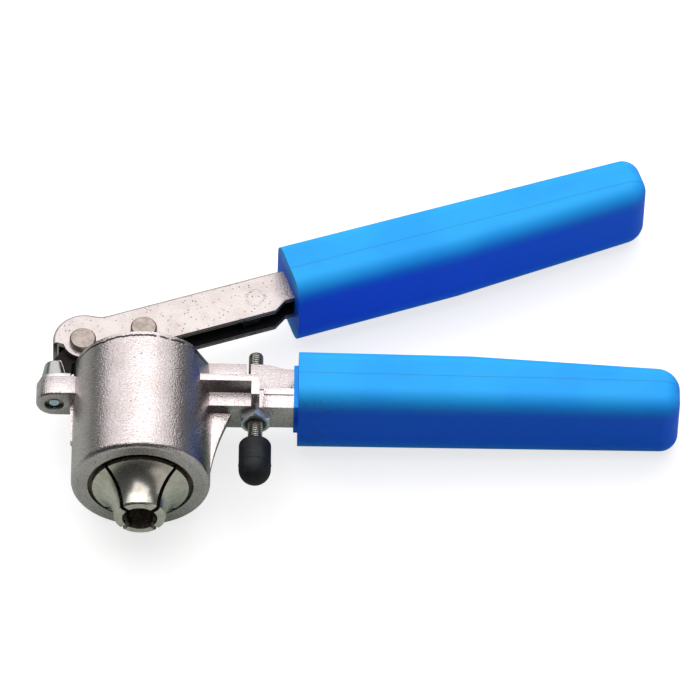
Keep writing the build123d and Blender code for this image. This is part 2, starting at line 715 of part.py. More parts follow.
def lower_grip():
    """Grip over the casting's tang, with its thin lip round the arm."""
    grip = Pos(GRIP_START_X, GRIP_MID_Y, 0) * grip_body()
    half_w = (ARM_BACK_GRIP - ARM_FRONT) / 2 + COLLAR_WALL
    lip = Box(COLLAR_OUT + 1, 2 * half_w, 2 * (ARM_HALF + COLLAR_WALL),
              align=(Align.MIN, Align.CENTER, Align.CENTER))
    grip += Pos(GRIP_START_X - COLLAR_OUT, GRIP_MID_Y, 0) * lip
    return grip - arm_bar()


def upper_grip():
    """The same moulding turned over on the lever."""
    grip = mirror(grip_body(), Plane.XZ)
    grip = Pos(UPPER_GRIP_U, LEVER_MID_V, 0) * grip
    pocket = Box(TANG_LEN, LEVER_TOP - LEVER_LOW_GRIP, 2 * LEVER_HALF,
                 align=(Align.MIN, Align.CENTER, Align.CENTER))
    return to_lever(grip - Pos(UPPER_GRIP_U, LEVER_MID_V, 0) * pocket)


def pieces():
    """Every piece of the tool by name."""
    seat_ring, retainer_ring = seat_rings()
    return {
        "head_body": head_body(),
        "handle_arm": handle_arm(),
        "fulcrum_lug": fulcrum_lug(),
        "guide_cap": guide_cap(),
        "jaw_seat_ring": seat_ring,
        "jaw_retainer_ring": retainer_ring,
        **jaws(),
        "jaw_return_ring": jaw_return_ring(),
        "plunger_rod": plunger_rod(),
        "jaw_cone": jaw_cone(),
        "anvil": anvil(),
        "spring_seat": spring_seat(),
        "return_spring": return_spring(),
        "lever_channel": lever_channel(),
        "stop_block": stop_block(),
        "fulcrum_pin": rivet_pin(FULCRUM_X, FULCRUM_Y),
        "plunger_pin": rivet_pin(0, PLUNGER_PIN_Y),
        "upper_grip": upper_grip(),
        "lower_grip": lower_grip(),
        "bracket_plate": bracket_plate(),
        "fulcrum_bracket": fulcrum_bracket(),
        "fulcrum_stud": fulcrum_stud(),
        "stop_screw": stop_screw(),
        "stop_screw_cap": stop_screw_cap(),
        "stop_lock_nut": stop_lock_nut(),
    }


def main():
    """Write one STEP file for each piece."""
    os.makedirs("parts", exist_ok=True)
    for name, shape in pieces().items():
        export_step(shape, f"parts/{name}.step")


if __name__ == "__main__":
    main()
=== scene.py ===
"""Looks of a hand crimper for vial seals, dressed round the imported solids.

Every length is in metres in the tool's own frame: the origin is the centre of the jaw mouth, X runs
along the fixed handle, Y runs up the head's axis and Z is the normal of the plane of both handles.
"""
import logging
import math
from dataclasses import dataclass
from enum import Enum
from functools import reduce
from typing import Callable, Optional, Sequence, Union

import bpy
from mathutils import Matrix, Vector


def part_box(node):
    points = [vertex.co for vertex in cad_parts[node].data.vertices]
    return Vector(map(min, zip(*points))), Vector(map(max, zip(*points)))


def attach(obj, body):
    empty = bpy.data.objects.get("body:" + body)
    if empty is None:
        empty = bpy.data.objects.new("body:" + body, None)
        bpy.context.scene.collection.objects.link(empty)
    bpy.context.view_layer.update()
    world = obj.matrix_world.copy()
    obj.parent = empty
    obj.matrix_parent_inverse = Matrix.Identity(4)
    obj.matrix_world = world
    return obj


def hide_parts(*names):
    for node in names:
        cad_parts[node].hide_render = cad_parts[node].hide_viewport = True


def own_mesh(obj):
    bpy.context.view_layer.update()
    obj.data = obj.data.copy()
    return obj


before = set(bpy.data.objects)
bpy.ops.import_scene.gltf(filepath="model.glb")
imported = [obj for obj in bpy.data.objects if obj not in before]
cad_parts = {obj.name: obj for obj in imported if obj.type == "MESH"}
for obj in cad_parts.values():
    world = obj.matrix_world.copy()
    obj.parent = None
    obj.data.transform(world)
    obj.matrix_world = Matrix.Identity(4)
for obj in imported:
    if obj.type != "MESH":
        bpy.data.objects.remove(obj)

LOG = logging.getLogger("crimper")
MM = 0.001
SKIN = 0.02 * MM  # how far past a face its mask still counts
LEVER_TURN = math.radians(19.4)
LEVER_PIN_Y = 75.0 * MM

Colour = tuple[float, float, float]
Band = tuple[float, float, float]  # centre, half width and soft edge
Feed = Union["Val", float, Sequence[float]]


class Body(Enum):
    """Bodies of the tool that new pieces ride on."""

    FRAME = "frame"
    STOP_SCREW = "stop_screw"


class Val:
    """A node's output in a Python sum. Each operator adds one Math node."""

    def __init__(self, maker: "NodeMaker", socket: bpy.types.NodeSocket) -> None:
        """Wrap a socket of one material.

        Args:
            maker: The material's node maker.
            socket: The output that later nodes read.
        """
        self.maker = maker
        self.socket = socket

    def sum_node(self, operation: str, *terms: Feed) -> "Val":
        """Add a Math node.

        Args:
            operation: The Math node's operation.
            terms: Its inputs in order.

        Returns:
            The node's output.
        """
        made = self.maker.node("ShaderNodeMath", {"operation": operation}, dict(enumerate(terms)))
        return Val(self.maker, made.outputs[0])

    def __add__(self, other: Feed) -> "Val":
        """Sum."""
        return self.sum_node("ADD", self, other)

    def __radd__(self, other: float) -> "Val":
        """Sum with a number first."""
        return self.sum_node("ADD", other, self)

    def __sub__(self, other: Feed) -> "Val":
        """Difference."""
        return self.sum_node("SUBTRACT", self, other)

    def __rsub__(self, other: float) -> "Val":
        """Difference with a number first."""
        return self.sum_node("SUBTRACT", other, self)

    def __mul__(self, other: Feed) -> "Val":
        """Product."""
        return self.sum_node("MULTIPLY", self, other)

    def __abs__(self) -> "Val":
        """Size without sign."""
        return self.sum_node("ABSOLUTE", self)

    def root(self) -> "Val":
        """Square root."""
        return self.sum_node("SQRT", self)

    def larger(self, other: Feed) -> "Val":
        """The larger of two."""
        return self.sum_node("MAXIMUM", self, other)

    def step(self, low: float, high: float) -> "Val":
        """Rise smoothly from 0 at low to 1 at high, or fall where high is below low.

        Args:
            low: Value that gives 0.
            high: Value that gives 1.

        Returns:
            The stepped value.
        """
        made = self.maker.node("ShaderNodeMapRange", {"interpolation_type": "SMOOTHSTEP"},
                               {"Value": self, "From Min": low, "From Max": high})
        return Val(self.maker, made.outputs[0])

    def band(self, centre: float, half: float, soft: float) -> "Val":
        """Mask that is 1 within half of centre and falls to 0 over soft."""
        return abs(self - centre).step(half + soft, half)


class NodeMaker:
    """Adds the nodes of one material."""

    def __init__(self, name: str) -> None:
        """Start an empty material.

        Args:
            name: The material's name.
        """
        self.material = bpy.data.materials.new(name)
        self.material.use_nodes = True
        self.tree = self.material.node_tree
        self.tree.nodes.clear()

    def node(self, kind: str, settings: Optional[dict] = None,
             feeds: Optional[dict] = None) -> bpy.types.Node:
        """Add one node.

        Args:
            kind: The node's type.
            settings: Its own settings, set first.
            feeds: Values or links of its sockets, by name or place.

        Returns:
            The node.
        """
        made = self.tree.nodes.new(kind)
        for key, value in (settings or {}).items():
            setattr(made, key, value)
        for key, value in (feeds or {}).items():
            socket = made.inputs[key]
            if isinstance(value, Val):
                self.tree.links.new(value.socket, socket)
            else:
                socket.default_value = value
        return made

    def place(self) -> Val:
        """Object coordinates."""
        return Val(self, self.node("ShaderNodeTexCoord").outputs["Object"])

    def parts_of(self, vector: Val) -> tuple[Val, Val, Val]:
        """The three parts of a vector."""
        made = self.node("ShaderNodeSeparateXYZ", feeds={0: vector})
        return Val(self, made.outputs[0]), Val(self, made.outputs[1]), Val(self, made.outputs[2])

    def vector(self, x: Feed, y: Feed, z: Feed) -> Val:
        """A vector of three parts."""
        return Val(self, self.node("ShaderNodeCombineXYZ", feeds={0: x, 1: y, 2: z}).outputs[0])

    def noise(self, at: Val, size: float, detail: float = 2.0, rough: float = 0.5) -> Val:
        """Noise whose grains are about size metres wide.

        Args:
            at: Where it is read.
            size: Width of a grain.
            detail: Octaves of finer grain.
            rough: Weight of the finer grain.

        Returns:
            Noise about 0.5.
        """
        made = self.node("ShaderNodeTexNoise", {"noise_dimensions": "3D"},
                         {"Vector": at, "Scale": 1 / size, "Detail": detail, "Roughness": rough})
        return Val(self, made.outputs[0])

    def cells(self, at: Val, size: float) -> Val:
        """Distance from scattered points about size metres apart, in cells."""
        made = self.node("ShaderNodeTexVoronoi", feeds={"Vector": at, "Scale": 1 / size})
        return Val(self, made.outputs["Distance"])

    def tint(self, share: Feed, first: Feed, second: Feed) -> Val:
        """Colour that goes from first to second.

        Args:
            share: Share of the second.
            first: Colour or link at 0.
            second: Colour or link at 1.

        Returns:
            The mixed colour.
        """
        colours = {6: rgba(first), 7: rgba(second)}
        made = self.node("ShaderNodeMix", {"data_type": "RGBA"}, {0: share, **colours})
        return Val(self, made.outputs[2])

    def bump(self, height: Val, depth: float, under: Optional[Val] = None) -> Val:
        """Normal of a relief.

        Args:
            height: Relief from 0 to 1.
            depth: Its depth in metres.
            under: A normal that it adds to.

        Returns:
            The new normal.
        """
        feeds: dict = {"Strength": 1.0, "Distance": depth, "Height": height}
        if under is not None:
            feeds["Normal"] = under
        return Val(self, self.node("ShaderNodeBump", feeds=feeds).outputs[0])

    def surface(self, colour: Feed, roughness: Feed, metallic: Feed, normal: Val,
                fixed: Optional[dict] = None) -> bpy.types.Material:
        """Finish the material with one shader.

        Args:
            colour: Base colour.
            roughness: Roughness.
            metallic: Share of metal.
            normal: Normal with its relief.
            fixed: Numbers for the shader's other sockets.

        Returns:
            The material.
        """
        feeds = {"Base Color": rgba(colour), "Roughness": roughness, "Metallic": metallic,
                 "Normal": normal, **(fixed or {})}
        shader = self.node("ShaderNodeBsdfPrincipled", feeds=feeds)
        out = self.node("ShaderNodeOutputMaterial")
        self.tree.links.new(shader.outputs[0], out.inputs[0])
        return self.material


def rgba(colour: Feed) -> Feed:
    """A colour with its fourth number, or a link as it is."""
    return colour if isinstance(colour, Val) else (*colour, 1.0)


def reach(first: Val, second: Val) -> Val:
    """Length of an offset from two of its parts."""
    return (first * first + second * second).root()


def lever_axes(maker: NodeMaker, at: Val) -> tuple[Val, Val, Val]:
    """Way along the lever, across it and through it, from its plunger pin.

    Args:
        maker: The material's node maker.
        at: Object coordinates.

    Returns:
        Along, across and through.
    """
    x, y, z = maker.parts_of(at)
    rise = y - LEVER_PIN_Y
    along = x * math.cos(LEVER_TURN) + rise * math.sin(LEVER_TURN)
    across = rise * math.cos(LEVER_TURN) - x * math.sin(LEVER_TURN)
    return along, across, z


@dataclass(frozen=True)
class CastNickel:
    """Blasted casting with satin nickel plate, grainy where the light turns."""

    name: str = "cast_nickel"
    light: Colour = (0.515, 0.467, 0.473)
    warm: Colour = (0.46, 0.413, 0.410)
    pit: Colour = (0.13, 0.11, 0.10)
    crack: Colour = (0.03, 0.025, 0.02)
    grain_size: float = 0.56 * MM
    relief: float = 0.115 * MM
    patch_size: float = 9 * MM
    pit_gap: float = 2.3 * MM
    pit_field: float = 4 * MM
    pit_share: float = 0.55
    speck_size: float = 0.58 * MM
    speck_share: float = 0.22
    roughness: float = 0.235
    grain_rough: float = 0.10
    rim_y: Optional[float] = None
    wander_length: float = 5.5 * MM
    wander_height: float = 2.4 * MM
    crack_half: float = 0.27 * MM
    crack_soft: float = 0.16 * MM
    crack_break: float = 3.4 * MM
    crack_from_z: float = 6 * MM
    crack_full_z: float = 11 * MM

    def make(self) -> bpy.types.Material:
        """Build the material.

        Returns:
            The material.
        """
        maker = NodeMaker(self.name)
        at = maker.place()
        grain = maker.noise(at, self.grain_size, detail=0.6, rough=0.5)
        patches = maker.noise(at, self.patch_size, detail=3.0, rough=0.55)
        pits = maker.cells(at, self.pit_gap).step(0.16, 0.09)
        pits = pits * maker.noise(at, self.pit_field).step(0.5, 0.62)
        colour = maker.tint(patches.step(0.35, 0.7), self.light, self.warm)
        specks = maker.noise(at, self.speck_size, detail=0.5).step(0.45, 0.33)
        colour = maker.tint(specks * self.speck_share, colour, self.pit)
        colour = maker.tint(pits * self.pit_share, colour, self.pit)
        height = grain - pits * 0.6
        roughness = self.roughness + grain * self.grain_rough
        if self.rim_y is not None:
            crack = self.flash_line(maker, at)
            colour = maker.tint(crack * 0.95, colour, self.crack)
            height = height - crack
        return maker.surface(colour, roughness, 1.0, maker.bump(height, self.relief))

    def flash_line(self, maker: NodeMaker, at: Val) -> Val:
        """Ragged line where the casting's flash was broken off below the rim.

        Args:
            maker: The material's node maker.
            at: Object coordinates.

        Returns:
            Mask of the line.
        """
        x, y, z = maker.parts_of(at)
        wander = maker.noise(maker.vector(x, 0.0, 0.0), self.wander_length, detail=3.0, rough=0.7)
        line = y - self.rim_y + (wander - 0.5) * self.wander_height
        upper = z.step(self.crack_from_z, self.crack_full_z)
        broken = maker.noise(at, self.crack_break).step(0.28, 0.40)
        return line.band(0.0, self.crack_half, self.crack_soft) * upper * broken


@dataclass(frozen=True)
class PolishedChrome:
    """Turned and polished chrome with faint turning rings about the head's axis."""

    name: str = "polished_chrome"
    light: Colour = (0.56, 0.550, 0.495)
    warm: Colour = (0.50, 0.450, 0.370)
    speck: Colour = (0.25, 0.22, 0.18)
    roughness: float = 0.22
    ring_gap: float = 0.22 * MM
    smear_size: float = 3.2 * MM
    speck_size: float = 0.8 * MM
    relief: float = 0.0022 * MM

    def make(self) -> bpy.types.Material:
        """Build the material.

        Returns:
            The material.
        """
        maker = NodeMaker(self.name)
        at = maker.place()
        x, y, z = maker.parts_of(at)
        rings = maker.noise(maker.vector(reach(x, z), y, 0.0), self.ring_gap, detail=1.0)
        smear = maker.noise(at, self.smear_size, detail=3.0, rough=0.6)
        specks = maker.noise(at, self.speck_size, detail=1.0).step(0.70, 0.78)
        colour = maker.tint(smear.step(0.4, 0.7), self.light, self.warm)
        colour = maker.tint(specks * 0.35, colour, self.speck)
        roughness = self.roughness + smear * 0.10 + specks * 0.2
        return maker.surface(colour, roughness, 1.0, maker.bump(rings, self.relief))


@dataclass(frozen=True)
class BracketChrome:
    """Bright tapered boss whose tongue under the lever is painted near black as shade, and rougher.
    """

    name: str = "bracket_chrome"
    light: Colour = (0.40, 0.405, 0.40)
    hazy: Colour = (0.32, 0.31, 0.29)
    # dark is the painted shade of the gap under the lever, put on the tongue
    dark: Colour = (0.018, 0.016, 0.015)
    axis_x: float = -29.8 * MM
    foot_y: float = 56.4 * MM
    height: float = 6.8 * MM
    foot_radius: float = 4.92 * MM
    narrowing: float = 1.3 * MM
    fade: float = 0.12 * MM
    smear_size: float = 1.6 * MM
    ring_gap: float = 0.25 * MM
    relief: float = 0.006 * MM
    roughness: float = 0.17

    def make(self) -> bpy.types.Material:
        """Build the material.

        Returns:
            The material.
        """
        maker = NodeMaker(self.name)
        at = maker.place()
        x, y, z = maker.parts_of(at)
        taper = self.narrowing / self.height
        beyond = reach(x - self.axis_x, z) + (y - self.foot_y) * taper - self.foot_radius
        above = (y - (self.foot_y + self.height)).step(-self.fade, SKIN)
        # painted shade: the tongue past the boss's cone and above its top is painted near black
        tongue = beyond.step(SKIN, self.fade).larger(above)
        smear = maker.noise(at, self.smear_size, detail=3.0, rough=0.6)
        rings = maker.noise(maker.vector(0.0, y, 0.0), self.ring_gap)
        colour = maker.tint(smear.step(0.4, 0.75) * 0.5, self.light, self.hazy)
        colour = maker.tint(tongue, colour, self.dark)
        roughness = self.roughness + smear * 0.10 + tongue * 0.35
        return maker.surface(colour, roughness, 1.0, maker.bump(rings, self.relief))


@dataclass(frozen=True)
class TurnedSteel:
    """Turned steel with rings about the head's axis and a thin film of oil."""

    name: str
    light: Colour = (0.60, 0.58, 0.55)
    dark: Colour = (0.42, 0.39, 0.36)
    roughness: float = 0.26
    ring_gap: float = 0.16 * MM
    stain_size: float = 5 * MM
    relief: float = 0.008 * MM

    def make(self) -> bpy.types.Material:
        """Build the material.

        Returns:
            The material.
        """
        maker = NodeMaker(self.name)
        at = maker.place()
        x, y, z = maker.parts_of(at)
        rings = maker.noise(maker.vector(reach(x, z), y, 0.0), self.ring_gap, rough=0.6)
        stain = maker.noise(at, self.stain_size, detail=3.0, rough=0.6)
        colour = maker.tint(stain.step(0.35, 0.7), self.light, self.dark)
        roughness = self.roughness + rings * 0.14
        return maker.surface(colour, roughness, 1.0, maker.bump(rings, self.relief))


@dataclass(frozen=True)
class PlatedSheet:
    """Satin plated sheet of the lever, its inside faces painted dark as shade and its stamped edges
    streaked.

    Places are measured along and across the lever, from its plunger pin.
    """

    name: str = "plated_sheet"
    light: Colour = (0.44, 0.402, 0.396)
    warm: Colour = (0.39, 0.350, 0.340)
    speck: Colour = (0.13, 0.10, 0.09)
    sheared: Colour = (0.03, 0.026, 0.024)
    # inside is the colour of the painted shade on the channel's inner faces
    inside: Colour = (0.020, 0.020, 0.022)
    grain_size: float = 0.55 * MM
    patch_size: float = 7 * MM
    speck_gap: float = 1.15 * MM
    speck_field: float = 3.2 * MM
    relief: float = 0.07 * MM
    roughness: float = 0.30
    inner_half: float = 3.56 * MM
    web_under: float = 8.06 * MM
    low_edge: float = -5.75 * MM
    low_edge_grip: float = -2.75 * MM
    step_start: float = 45.5 * MM
    step_end: float = 50.0 * MM
    slant_half: float = 2.2 * MM
    slant_edge: tuple[float, float] = (0.42 * MM, 0.30 * MM)
    fade: float = 0.1 * MM
    hump: tuple[float, float, float] = (-20.3 * MM, 2.5 * MM, 8.86 * MM)
    weld: tuple[float, float] = (40.5 * MM, 1.2 * MM)
    weld_ring: Band = (3.1 * MM, 0.3 * MM, 0.7 * MM)
    weld_share: float = 0.30
    weld_break: float = 0.8 * MM
    grime_and_shade_size: float = 0.5 * MM
    grime_and_shade_start: float = 46.5 * MM
    grime_and_shade_end: float = 53.5 * MM
    streaks: tuple[Band, ...] = ((4.62 * MM, 0.10 * MM, 0.14 * MM),
                                 (5.38 * MM, 0.10 * MM, 0.08 * MM),
                                 (3.62 * MM, 0.06 * MM, 0.12 * MM))
    streak_length: float = 1.4 * MM

    def make(self) -> bpy.types.Material:
        """Build the material.

        Returns:
            The material.
        """
        maker = NodeMaker(self.name)
        at = maker.place()
        along, across, through = lever_axes(maker, at)
        side = abs(through)
        grain = maker.noise(at, self.grain_size, rough=0.6)
        patches = maker.noise(at, self.patch_size, detail=3.0, rough=0.6)
        specks = maker.cells(at, self.speck_gap).step(0.24, 0.15)
        specks = specks * maker.noise(at, self.speck_field).step(0.45, 0.56)
        colour = maker.tint(patches.step(0.38, 0.68), self.light, self.warm)
        colour = maker.tint(specks * 0.85, colour, self.speck)
        # grime and painted contact shade: specks darken the lever towards the grip's mouth
        grime_and_shade = along.step(self.grime_and_shade_start, self.grime_and_shade_end)
        grime_and_shade = grime_and_shade * maker.noise(at, self.grime_and_shade_size, detail=1.0).step(0.56, 0.42)
        colour = maker.tint(grime_and_shade * 0.75, colour, self.speck)
        mark = self.weld_mark(maker, at, along, across)
        colour = maker.tint(mark * self.weld_share, colour, self.speck)
        edge = self.stamped_edge(along, across)
        streak = reduce(Val.larger, (side.band(*band) for band in self.streaks))
        streak = streak * maker.noise(at, self.streak_length).step(0.2, 0.5)
        colour = maker.tint(edge * (1 - streak) * 0.93, colour, self.sheared)
        # painted shade: the channel's inner faces are painted near black, rougher and less metallic
        dark = self.inner_shade(along, across, side)
        colour = maker.tint(dark, colour, self.inside)
        roughness = self.roughness + grain * 0.14 + edge * 0.1 + dark * 0.25
        height = grain - specks * 0.8 + mark * 0.5
        return maker.surface(colour, roughness, 1 - dark * 0.7, maker.bump(height, self.relief))

    def weld_mark(self, maker: NodeMaker, at: Val, along: Val, across: Val) -> Val:
        """Faint ring left by the spot weld of the block inside.

        Args:
            maker: The material's node maker.
            at: Object coordinates.
            along: Way along the lever.
            across: Way across it.

        Returns:
            Mask of the ring.
        """
        weld_u, weld_v = self.weld
        ring = reach(along - weld_u, across - weld_v).band(*self.weld_ring)
        return ring * maker.noise(at, self.weld_break).step(0.5, 0.62)

    def stamped_edge(self, along: Val, across: Val) -> Val:
        """Lower edges of the flanges, on both sides of their slanted step.

        Args:
            along: Way along the lever.
            across: Way across it.

        Returns:
            Mask of the edges.
        """
        climb = along.step(self.step_start, self.step_end)
        line = self.low_edge + climb * (self.low_edge_grip - self.low_edge)
        above = across - line
        slanted = along.band((self.step_start + self.step_end) / 2, self.slant_half, self.fade)
        return above.step(self.fade, SKIN).larger(slanted * above.step(*self.slant_edge))

    def inner_shade(self, along: Val, across: Val, side: Val) -> Val:
        """Inside faces of the channel, where shade is painted.

        Args:
            along: Way along the lever.
            across: Way across it.
            side: Distance from its middle plane.

        Returns:
            Mask of the painted shade.
        """
        inner = side.step(self.inner_half, self.inner_half - SKIN)
        below = across.step(self.web_under, self.web_under - SKIN)
        hump_u, hump_v, radius = self.hump
        in_hump = reach(along - hump_u, across - hump_v).step(radius, radius - SKIN)
        right = along.step(hump_u, hump_u + self.fade)
        return inner * below * right.larger(in_hump)


@dataclass(frozen=True)
class SatinPin:
    """Round pin head, tarnished satin steel with fine scratches."""

    name: str = "satin_pin"
    light: Colour = (0.325, 0.285, 0.262)
    dark: Colour = (0.235, 0.200, 0.178)
    roughness: float = 0.38
    stain_size: float = 1.7 * MM
    scratch_size: float = 0.35 * MM
    relief: float = 0.03 * MM

    def make(self) -> bpy.types.Material:
        """Build the material.

        Returns:
            The material.
        """
        maker = NodeMaker(self.name)
        at = maker.place()
        stain = maker.noise(at, self.stain_size, detail=3.5, rough=0.65)
        fine = maker.noise(at, self.scratch_size)
        colour = maker.tint(stain.step(0.36, 0.66), self.light, self.dark)
        roughness = self.roughness + fine * 0.12
        return maker.surface(colour, roughness, 1.0, maker.bump(fine, self.relief))


@dataclass(frozen=True)
class OilAndShade:
    """Oil and painted shade round an axis along Y, which fades from its dark to its bright radius.
    """

    centre_x: float
    bright_radius: float
    dark_radius: float
    colour: Colour = (0.02, 0.018, 0.016)
    share: float = 0.88

    def spread(self, maker: NodeMaker, at: Val) -> Val:
        """Mask of the oil and painted shade."""
        x, _y, z = maker.parts_of(at)
        return reach(x - self.centre_x, z).step(self.bright_radius, self.dark_radius)


@dataclass(frozen=True)
class ZincPlate:
    """Zinc plated small part, dull or bright, with a slight blue or yellow cast."""

    name: str
    light: Colour
    dark: Colour
    roughness: float
    relief: float = 0.012 * MM
    oil: Optional[OilAndShade] = None
    bloom_size: float = 2.4 * MM
    fine_size: float = 0.4 * MM

    def make(self) -> bpy.types.Material:
        """Build the material.

        Returns:
            The material.
        """
        maker = NodeMaker(self.name)
        at = maker.place()
        bloom = maker.noise(at, self.bloom_size, detail=3.0, rough=0.6)
        fine = maker.noise(at, self.fine_size, rough=0.6)
        colour = maker.tint(bloom.step(0.36, 0.66), self.light, self.dark)
        roughness = self.roughness + bloom * 0.14
        # oil and painted shade: darker and rougher near the axis
        if self.oil is not None:
            film = self.oil.spread(maker, at)
            colour = maker.tint(film * self.oil.share, colour, self.oil.colour)
            roughness = roughness + film * 0.3
        return maker.surface(colour, roughness, 1.0, maker.bump(fine, self.relief))


@dataclass(frozen=True)
class BlueVinyl:
    """Moulded blue vinyl with painted shade, a deeper blue on its sides, and with a mould line and
    faint smudges.
    """

    name: str
    line_at: float
    on_lever: bool = False
    thumbed_x: Optional[float] = None
    blue: Colour = (0.022, 0.43, 1.0)
    worn: Colour = (0.018, 0.385, 1.0)
    # the deeper blue of the sides is painted shade
    shade_blue: Colour = (0.003, 0.150, 1.0)
    smudge: Colour = (0.030, 0.080, 0.260)
    wave_size: float = 22 * MM
    wave_relief: float = 0.45 * MM
    peel_size: float = 1.1 * MM
    peel_relief: float = 0.018 * MM
    scuff_size: float = 5.0 * MM
    dirt_field: float = 16 * MM
    start: float = 52.78 * MM
    collar_lift: float = 6.5 * MM
    shade_half: float = 6.5 * MM
    lit_half: float = 15.0 * MM
    thumb: tuple[float, float] = (5 * MM, 4 * MM)
    thumb_size: float = 2.6 * MM
    thumb_y: tuple[float, float] = (43 * MM, 41 * MM)
    line_half: float = 0.05 * MM
    line_soft: float = 0.12 * MM
    line_drift: float = 0.5 * MM
    line_wave: float = 30 * MM
    line_side: tuple[float, float] = (9 * MM, 12 * MM)
    roughness: float = 0.46
    ior: float = 1.46
    specular: float = 0.16

    def make(self) -> bpy.types.Material:
        """Build the material.

        Returns:
            The material.
        """
        maker = NodeMaker(self.name)
        at = maker.place()
        along, across, through = lever_axes(maker, at) if self.on_lever else maker.parts_of(at)
        waves = maker.noise(at, self.wave_size)
        peel = maker.noise(at, self.peel_size, rough=0.55)
        scuff = maker.noise(at, self.scuff_size, detail=4.0, rough=0.65)
        collar = along.step(self.start, self.start - SKIN)
        side = abs(through)
        # painted shade: near the middle plane the sides get the deeper blue and only the wide faces
        # keep the lit blue; at the collar the shaded band is narrower
        lit_share = (side + collar * self.collar_lift).step(self.shade_half, self.lit_half)
        colour = maker.tint(waves.step(0.35, 0.7), self.blue, self.worn)
        colour = maker.tint(lit_share, self.shade_blue, colour)
        dirt = scuff.step(0.62, 0.76) * maker.noise(at, self.dirt_field).step(0.5, 0.65)
        colour = maker.tint(dirt * 0.5, colour, self.smudge)
        if self.thumbed_x is not None:
            near = along.band(self.thumbed_x, *self.thumb) * across.step(*self.thumb_y)
            mark = maker.noise(at, self.thumb_size, detail=3.0, rough=0.6).step(0.52, 0.64)
            colour = maker.tint(near * mark * 0.24, colour, self.smudge)
        drift = (maker.noise(at, self.line_wave) - 0.5) * self.line_drift
        line = (across + drift).band(self.line_at, self.line_half, self.line_soft)
        line = line * side.step(*self.line_side)
        colour = maker.tint(line * 0.55, colour, self.smudge)
        roughness = self.roughness + peel * 0.10 - scuff.step(0.5, 0.7) * 0.04
        normal = maker.bump(peel - line * 0.8, self.peel_relief)
        normal = maker.bump(waves, self.wave_relief, normal)
        fixed = {"IOR": self.ior, "Specular IOR Level": self.specular}
        return maker.surface(colour, roughness, 0.0, normal, fixed)


@dataclass(frozen=True)
class MattRubber:
    """Matt moulded rubber with pale dust in its fine texture."""

    name: str
    black: Colour = (0.0035, 0.0055, 0.008)
    dust: Colour = (0.014, 0.017, 0.022)
    speck: Colour = (0.16, 0.17, 0.18)
    fine_size: float = 0.45 * MM
    cloud_size: float = 3.5 * MM
    speck_gap: float = 1.2 * MM
    relief: float = 0.02 * MM
    roughness: float = 0.50
    specular: float = 0.3

    def make(self) -> bpy.types.Material:
        """Build the material.

        Returns:
            The material.
        """
        maker = NodeMaker(self.name)
        at = maker.place()
        fine = maker.noise(at, self.fine_size, detail=3.0, rough=0.6)
        cloud = maker.noise(at, self.cloud_size, detail=3.0, rough=0.6)
        specks = maker.cells(at, self.speck_gap).step(0.12, 0.06)
        colour = maker.tint(cloud.step(0.4, 0.75), self.black, self.dust)
        colour = maker.tint(specks * 0.35, colour, self.speck)
        roughness = self.roughness + fine * 0.16
        fixed = {"Specular IOR Level": self.specular}
        return maker.surface(colour, roughness, 0.0, maker.bump(fine, self.relief), fixed)


